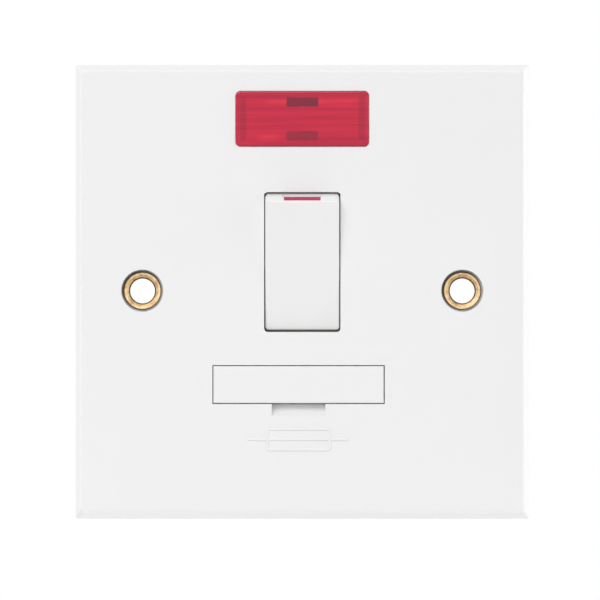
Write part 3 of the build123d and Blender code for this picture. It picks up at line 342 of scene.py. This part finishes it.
# Distance from the nearer eyelet's axis, or from a point off to one side of it, and the depth along it
def eyeletPlaces(tree, aside=(0.0, 0.0)):
    eyeletLow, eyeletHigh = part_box("fixing_eyelet_right")
    x, y, z = places(tree)[1:]
    axisX = times(tree, mathStep(tree, "SIGN", x), (eyeletLow[0] + eyeletHigh[0]) / 2)
    sideways = mathStep(tree, "SUBTRACT", x, mathStep(tree, "ADD", axisX, aside[0] * mm))
    upward = mathStep(tree, "SUBTRACT", z, (eyeletLow[2] + eyeletHigh[2]) / 2 + aside[1] * mm)
    squares = mathStep(tree, "ADD", times(tree, sideways, sideways), times(tree, upward, upward))
    return mathStep(tree, "SQRT", squares), y


# Eyelet brass: bright on the dished head, with a painted-shade line round its rim, oxide and painted shade
# at the bore's edge, burnished down the bore
eyeletLook = dict(tone=(236, 211, 164), tarnish=(200, 158, 111), streak=2600.0, along=1.0, blotch=1100.0,
                  gloss=(0.42, 0.58), depth=0.02, strength=0.25, edge=0.12,
                  boreOxideShadeTone=(84, 58, 38), boreSoft=0.22, boreEdge=2.3, boreGloss=0.08,
                  rimShadeTone=(92, 66, 48), rimWidth=0.1, rimSoft=0.16)


def eyeletBrass(look):
    material, tree, body = newMaterial("eyeletBrass")
    eyeletLow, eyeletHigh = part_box("fixing_eyelet_right")
    holes = [mount for mount in frame["record"]["mounts"] if mount["name"] == "fixing_holes"]
    boreRadius = holes[0]["dims"]["hole_r_mm"] * mm
    headRadius = (eyeletHigh[0] - eyeletLow[0]) / 2
    radius, depth = eyeletPlaces(tree)
    inBore = below(tree, radius, boreRadius + look["boreSoft"] * mm, look["boreSoft"] * mm)
    onHead = below(tree, radius, headRadius - look["rimWidth"] * mm, look["rimSoft"] * mm)
    atEdge = below(tree, depth, faceY + look["boreEdge"] * mm, look["boreSoft"] * mm)
    # painted shade: a dark tone round the head's rim, standing in for the shaded gap beside it
    rimShaded = overlay(tree, outside(tree, onHead), dressMetal(tree, body, look), look["rimShadeTone"])
    # oxide and painted shade: a dark tone down the bore's first stretch from the face
    boreShaded = overlay(tree, times(tree, inBore, atEdge), rimShaded, look["boreOxideShadeTone"])
    join(tree, boreShaded, body.inputs["Base Color"])
    gloss = body.inputs["Roughness"].links[0].from_socket
    smooth = addNode(tree, "ShaderNodeMix", (100, -100), data_type="FLOAT")
    join(tree, times(tree, inBore, outside(tree, atEdge)), smooth.inputs["Factor"])
    join(tree, gloss, smooth.inputs["A"])
    smooth.inputs["B"].default_value = look["boreGloss"]
    join(tree, smooth.outputs["Result"], body.inputs["Roughness"])
    return material


# Plate front: the moulded white, with painted shade in the narrow gaps round each eyelet's head, set
# off-centre so it is widest at the upper left, and painted shade on the slot wall at the rocker's foot
# the two tones here are painted shade
gapShadeLook = dict(tone=(124, 114, 108), edge=3.72, edgeSoft=0.3, aside=(-0.13, 0.1), depth=0.4, depthSoft=0.3,
               slotShadeTone=(120, 112, 106), slotHalf=7.2, slotFoot=-7.78, slotReach=0.3,
               slotDepth=0.25, slotSoft=0.1)


def plateFront(look, paintedShade):
    material, tree, body = newMaterial("plateFront")
    # painted shade in the gap round each eyelet's head, centred a little up and to the left so it is
    # widest there
    radius, depth = eyeletPlaces(tree, paintedShade["aside"])
    near = below(tree, radius, paintedShade["edge"] * mm, paintedShade["edgeSoft"] * mm)
    shallow = below(tree, depth, faceY + paintedShade["depth"] * mm, paintedShade["depthSoft"] * mm)
    inGapShade = times(tree, near, outside(tree, shallow))
    ringShaded = overlay(tree, inGapShade, dressPlastic(tree, body, look), paintedShade["tone"])
    # painted shade on the slot's bottom wall at the rocker's foot
    x, y, z = places(tree)[1:]
    half, reach, foot, soft = paintedShade["slotHalf"], paintedShade["slotReach"], paintedShade["slotFoot"], paintedShade["slotSoft"]
    onWall = patch(tree, x, z, (-half, half, foot - reach, foot + reach), (soft, soft))
    skin = below(tree, y, faceY + paintedShade["slotDepth"] * mm, soft * mm)
    inSlotShade = times(tree, onWall, outside(tree, skin))
    join(tree, overlay(tree, inSlotShade, ringShaded, paintedShade["slotShadeTone"]), body.inputs["Base Color"])
    return material


# Red lens: part clear, part milky, with painted shade where the legs and end walls back it, painted light
# streaks along its ribs, and painted glints in a few patches beside the legs; each patch gives its left,
# right, foot and top
lensLook = dict(tone=(218, 14, 68), streakLightTone=(238, 30, 72), deepShadeTone=(146, 26, 56), ior=1.49,
                transmission=0.3, roughness=0.12, legWidth=6.0, legDepth=(2.3, 4.1), legFootShare=0.65,
                endWall=(10.6, 11.7), endShare=0.32, soft=0.4,
                streakAcross=1500.0, streakAlong=40.0, streakDetail=3.0, streakRange=(0.38, 0.64),
                peelScale=1500.0, peelDepth=0.02, peelStrength=0.08, edge=0.12,
                glintTone=(255, 46, 74), glintSoft=(2.6, 0.6), glintLeast=0.2,
                glints=((2.2, 10.4, 2.9, 3.7), (-6.6, -2.2, 2.9, 3.6), (-8.0, -4.4, -4.1, -3.0)))


def redLens(look):
    material, tree, body = newMaterial("lensRed")
    spot, x, _, z = places(tree)
    lensLow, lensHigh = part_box("neon_lens")
    side = mathStep(tree, "SUBTRACT", x, (lensLow[0] + lensHigh[0]) / 2)
    up = mathStep(tree, "SUBTRACT", z, (lensLow[2] + lensHigh[2]) / 2)
    across = mathStep(tree, "ABSOLUTE", side)
    tall = mathStep(tree, "ABSOLUTE", up)
    soft = look["soft"] * mm

    # painted shade where the legs and end walls lie behind the lens
    legNear, legFar = (depth * mm for depth in look["legDepth"])
    endNear, endFar = (depth * mm for depth in look["endWall"])
    legShare = remap(tree, up, (-soft, soft), (look["legFootShare"], 1.0))
    inLeg = times(tree, below(tree, across, look["legWidth"] / 2 * mm, soft), legShare)
    legs = times(tree, inLeg, between(tree, tall, legNear, legFar, soft))
    inEnd = between(tree, across, endNear, endFar, soft)
    ends = times(tree, inEnd, below(tree, tall, legFar, soft))
    deepShade = mathStep(tree, "MAXIMUM", legs, times(tree, ends, look["endShare"]))

    # painted light streaks along the ribs
    stretch = addNode(tree, "ShaderNodeMapping", (-700, 300))
    along = look["streakAlong"]
    stretch.inputs["Scale"].default_value = (along, along, look["streakAcross"])
    join(tree, spot, stretch.inputs["Vector"])
    streak = addNoise(tree, stretch.outputs["Vector"], 1.0, look["streakDetail"])
    bands = remap(tree, streak, look["streakRange"])
    streakLit = blendTones(tree, bands, look["tone"], look["streakLightTone"])

    # painted glints beside the legs, streaked like the painted light streaks
    caught = 0.0
    for oblong in look["glints"]:
        glint = patch(tree, side, up, oblong, look["glintSoft"])
        caught = mathStep(tree, "MAXIMUM", glint, caught)
    share = remap(tree, bands, target=(look["glintLeast"], 1.0))
    lit = overlay(tree, times(tree, caught, share), streakLit, look["glintTone"])
    join(tree, overlay(tree, deepShade, lit, look["deepShadeTone"]), body.inputs["Base Color"])
    body.inputs["Roughness"].default_value = look["roughness"]
    body.inputs["IOR"].default_value = look["ior"]
    body.inputs["Transmission Weight"].default_value = look["transmission"]
    skin = placeGroup(tree, mouldSkin, Peel_Scale=look["peelScale"])
    addBump(tree, body, skin.outputs["Peel"], look["peelDepth"], look["peelStrength"], look["edge"])
    return material


# Lamp glass: clear, with a slight ripple
glassLook = dict(tint=(246, 249, 250), roughness=0.03, ior=1.5, ripple=600.0, depth=0.02, strength=0.08)


def lampGlass(look):
    material, tree, body = newMaterial("lampGlass")
    body.inputs["Base Color"].default_value = screen(*look["tint"])
    body.inputs["Roughness"].default_value = look["roughness"]
    body.inputs["IOR"].default_value = look["ior"]
    body.inputs["Transmission Weight"].default_value = 1.0
    skin = placeGroup(tree, mouldSkin, Peel_Scale=look["ripple"])
    addBump(tree, body, skin.outputs["Peel"], look["depth"], look["strength"])
    return material


plateWhite = mouldedPlastic("plateWhite", plateLook)
screwZinc = workedMetal("screwZinc", zincLook)
plateFace = plateFront(plateLook, gapShadeLook)
holeBrass = eyeletBrass(eyeletLook)

# One finish for each of the record's slots; three nodes have a finish of their own
finishes = {
    "plate_white": plateWhite,
    "housing_grey": mouldedPlastic("housingGrey", housingLook),
    "lens_red": redLens(lensLook),
    "flag_red": mouldedPlastic("flagRed", flagLook),
    "lamp_glass": lampGlass(glassLook),
    "brass": workedMetal("terminalBrass", brassLook),
    "clip_bronze": workedMetal("clipBronze", bronzeLook),
    "contact_silver": workedMetal("contactSilver", silverLook),
    "screw_steel": screwZinc,
    "strap_steel": screwZinc,
    "ceramic": mouldedPlastic("fuseCeramic", ceramicLook),
    "cap_nickel": workedMetal("capNickel", nickelLook),
    "lead_sleeve": mouldedPlastic("leadSleeve", sleeveLook),
    "resistor_body": mouldedPlastic("resistorLacquer", resistorLook),
    "plunger_nylon": mouldedPlastic("plungerNylon", nylonLook),
    "spring_steel": workedMetal("springSteel", springLook),
}
special = {"fixing_eyelet_left": holeBrass, "fixing_eyelet_right": holeBrass, "front_plate": plateFace}
print("materials made")

for part in frame["record"]["subparts"]:
    node = frame["nodes"][part["node"]]
    node.data.materials.clear()
    node.data.materials.append(special.get(part["node"], finishes[part["material_slot"]]))


# A raised stroke: a rounded ridge carried along a path.
# Across it, t runs from -1 to 1: offset = t * stroke / 2 and height = rise * (1 - t ** shoulder).
def ridge(path, look, closed):
    path = np.asarray(path, float)
    if closed:
        before, after = np.roll(path, 1, axis=0), np.roll(path, -1, axis=0)
    else:
        before = np.vstack([path[:1], path[:-1]])
        after = np.vstack([path[1:], path[-1:]])
    into, away = path - before, after - path
    into = np.where(np.linalg.norm(into, axis=1, keepdims=True) > 0, into, away)
    away = np.where(np.linalg.norm(away, axis=1, keepdims=True) > 0, away, into)
    into /= np.linalg.norm(into, axis=1, keepdims=True)
    away /= np.linalg.norm(away, axis=1, keepdims=True)
    along = into + away
    along /= np.linalg.norm(along, axis=1, keepdims=True)
    side = np.stack([-along[:, 1], along[:, 0]], axis=1)
    mitre = 1.0 / np.sum(along * away, axis=1)
    t = np.linspace(-1.0, 1.0, look["steps"])
    offset = t * look["stroke"] * mm / 2
    height = look["rise"] * mm * (1.0 - t ** look["shoulder"])
    flat = path[:, None, :] + side[:, None, :] * (offset[None, :, None] * mitre[:, None, None])
    grid = np.empty((len(path), look["steps"], 3))
    grid[..., 0] = flat[..., 0]
    grid[..., 2] = flat[..., 1]
    grid[..., 1] = faceY - height[None, :]
    return grid


# Grid of points to faces; the ridge's two long edges sit on the face, and its foot closes it
def gridFaces(grid, closed):
    rows, columns = grid.shape[:2]
    row = np.arange(rows if closed else rows - 1)
    r, c = np.meshgrid(row, np.arange(columns - 1), indexing="ij")
    here, there = r * columns + c, (r + 1) % rows * columns + c
    quads = np.stack([here, here + 1, there + 1, there], axis=-1).reshape(-1, 4)
    start, follow = row * columns, (row + 1) % rows * columns
    foot = np.stack([start, follow, follow + columns - 1, start + columns - 1], axis=-1)
    return np.vstack([quads, foot])


def meshFrom(name, points, faces, material):
    mesh = bpy.data.meshes.new(name)
    mesh.from_pydata(points.reshape(-1, 3).tolist(), [], faces.tolist())
    mesh.validate()
    mesh.update()
    piece = bpy.data.objects.new(name, mesh)
    bpy.context.collection.objects.link(piece)
    mesh.materials.append(material)
    return piece


# Fuse mark below the drawer: a long box with the conductor running through it
markLook = dict(width=18.9, height=4.5, boxShare=0.62, centreZ=-28.0, corner=0.35, cornerSteps=5,
                stroke=0.62, rise=0.16, shoulder=6, steps=13)


def fuseMark(look):
    carrierLow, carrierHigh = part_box("fuse_carrier")
    centreX = (carrierLow[0] + carrierHigh[0]) / 2
    centreZ = look["centreZ"] * mm
    halfBox = look["width"] * look["boxShare"] / 2 * mm
    halfTall = (look["height"] - look["stroke"]) / 2 * mm
    halfWide = look["width"] / 2 * mm
    turn = np.linspace(0, np.pi / 2, look["cornerSteps"])
    bend = look["corner"] * mm
    corners = []
    for quarter, (sx, sz) in enumerate(((1, 1), (-1, 1), (-1, -1), (1, -1))):
        angle = turn + quarter * np.pi / 2
        corners.append(np.stack([
            centreX + sx * (halfBox - bend) + bend * np.cos(angle),
            centreZ + sz * (halfTall - bend) + bend * np.sin(angle)], axis=1))
    outline = np.vstack(corners)
    line = np.array([[centreX - halfWide, centreZ], [centreX + halfWide, centreZ]])
    pieces = []
    for name, path, closed in (("fuse_mark_box", outline, True), ("fuse_mark_line", line, False)):
        grid = ridge(path, look, closed)
        pieces.append(meshFrom(name, grid, gridFaces(grid, closed), plateWhite))
    return pieces


for piece in fuseMark(markLook):
    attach(piece, wallBody)
print("fuse mark made")


# Floor below the object, pale, with the object's shadow on it
floorLook = dict(drop=48.0, half=290.0, tone=(236, 236, 236), mottle=(232, 232, 232),
                 cloud=4.0, roughness=0.6)


def makeFloor(look):
    material, tree, body = newMaterial("floorPale")
    skin = placeGroup(tree, mouldSkin, Cloud_Scale=look["cloud"])
    colour = blendTones(tree, skin.outputs["Cloud"], look["tone"], look["mottle"])
    join(tree, colour, body.inputs["Base Color"])
    body.inputs["Roughness"].default_value = look["roughness"]
    half = look["half"] * mm
    level = cadLow[2] - look["drop"] * mm
    corners = ((-half, -half), (half, -half), (half, half), (-half, half))
    points = np.array([(x, y, level) for x, y in corners])
    floor = meshFrom("floor", points, np.array([[0, 1, 2, 3]]), material)
    floor.visible_shadow = False     # lets the low lamp through


# White surroundings: full white where the camera, a reflection or a refraction looks, softer as a light
worldLook = dict(tone=(255, 255, 255), seen=1.0, light=0.455)


def makeWorld(look):
    world = bpy.data.worlds.new("studio")
    bpy.context.scene.world = world
    world.use_nodes = True
    tree = world.node_tree
    tree.nodes.clear()
    out = addNode(tree, "ShaderNodeOutputWorld", (600, 0))
    mix = addNode(tree, "ShaderNodeMixShader", (400, 0))
    path = addNode(tree, "ShaderNodeLightPath", (-400, 0))
    looked = mathStep(tree, "MAXIMUM", path.outputs["Is Camera Ray"], path.outputs["Is Glossy Ray"])
    looked = mathStep(tree, "MAXIMUM", looked, path.outputs["Is Transmission Ray"])
    join(tree, looked, mix.inputs["Fac"])
    for slot, strength in ((1, look["light"]), (2, look["seen"])):
        backdrop = addNode(tree, "ShaderNodeBackground", (150, -100 * slot))
        backdrop.inputs["Color"].default_value = screen(*look["tone"])
        backdrop.inputs["Strength"].default_value = strength
        join(tree, backdrop.outputs["Background"], mix.inputs[slot])
    join(tree, mix.outputs["Shader"], out.inputs["Surface"])


# Lamps: a broad key from the front, upper left, and weak ones that level the plate's sides and back
lampLook = dict(
    key=dict(place=(-0.4, -0.9, 0.7), size=0.9, watts=8.1),
    low=dict(place=(0.1, 0.12, -0.92), size=0.5, watts=1.9),
    high=dict(place=(-0.1, 0.45, 0.9), size=0.5, watts=0.45),
    right=dict(place=(0.95, -0.06, 0.1), size=0.6, watts=2.5),
    left=dict(place=(-0.9, 0.45, 0.2), size=0.6, watts=1.9),
    back=dict(place=(0.82, 0.66, 0.3), size=0.6, watts=3.2),
)


def makeLamps(look):
    for name, lamp in look.items():
        light = bpy.data.lights.new(name, "AREA")
        light.shape = "SQUARE"
        light.size = lamp["size"]
        light.energy = lamp["watts"]
        holder = bpy.data.objects.new(name, light)
        bpy.context.collection.objects.link(holder)
        holder.location = lamp["place"]
        aim = Vector((0, 0, 0)) - Vector(lamp["place"])
        holder.rotation_euler = aim.to_track_quat("-Z", "Y").to_euler()


# Camera: square on from a little below, through a long lens; plateX and plateY say where the middle of
# the plate's face lies in the picture, and nearest is the clipping distance in metres
cameraLook = dict(azimuth=0.3, elevation=-1.2, distance=1500.0, frame=113.06, sensor=36.0,
                  pixels=600.0, plateX=302.3, plateY=290.7, nearest=0.01)


def makeCamera(look):
    lens = bpy.data.cameras.new("camera")
    lens.sensor_width = look["sensor"]
    lens.lens = look["sensor"] * look["distance"] / look["frame"]
    lens.clip_start = look["nearest"]
    holder = bpy.data.objects.new("camera", lens)
    bpy.context.collection.objects.link(holder)
    turn, lift = math.radians(look["azimuth"]), math.radians(look["elevation"])
    level = math.cos(lift)
    away = Vector((math.sin(turn) * level, -math.cos(turn) * level, math.sin(lift)))
    pixel = look["frame"] / look["pixels"] * mm
    middle = look["pixels"] / 2
    target = Vector((-(look["plateX"] - middle) * pixel, faceY, (look["plateY"] - middle) * pixel))
    holder.location = target + away * look["distance"] * mm
    holder.rotation_euler = (-away).to_track_quat("-Z", "Y").to_euler()
    bpy.context.scene.camera = holder


makeFloor(floorLook)
makeWorld(worldLook)
makeLamps(lampLook)
makeCamera(cameraLook)
bpy.context.scene.view_settings.view_transform = "Standard"
print("floor, light and camera set")
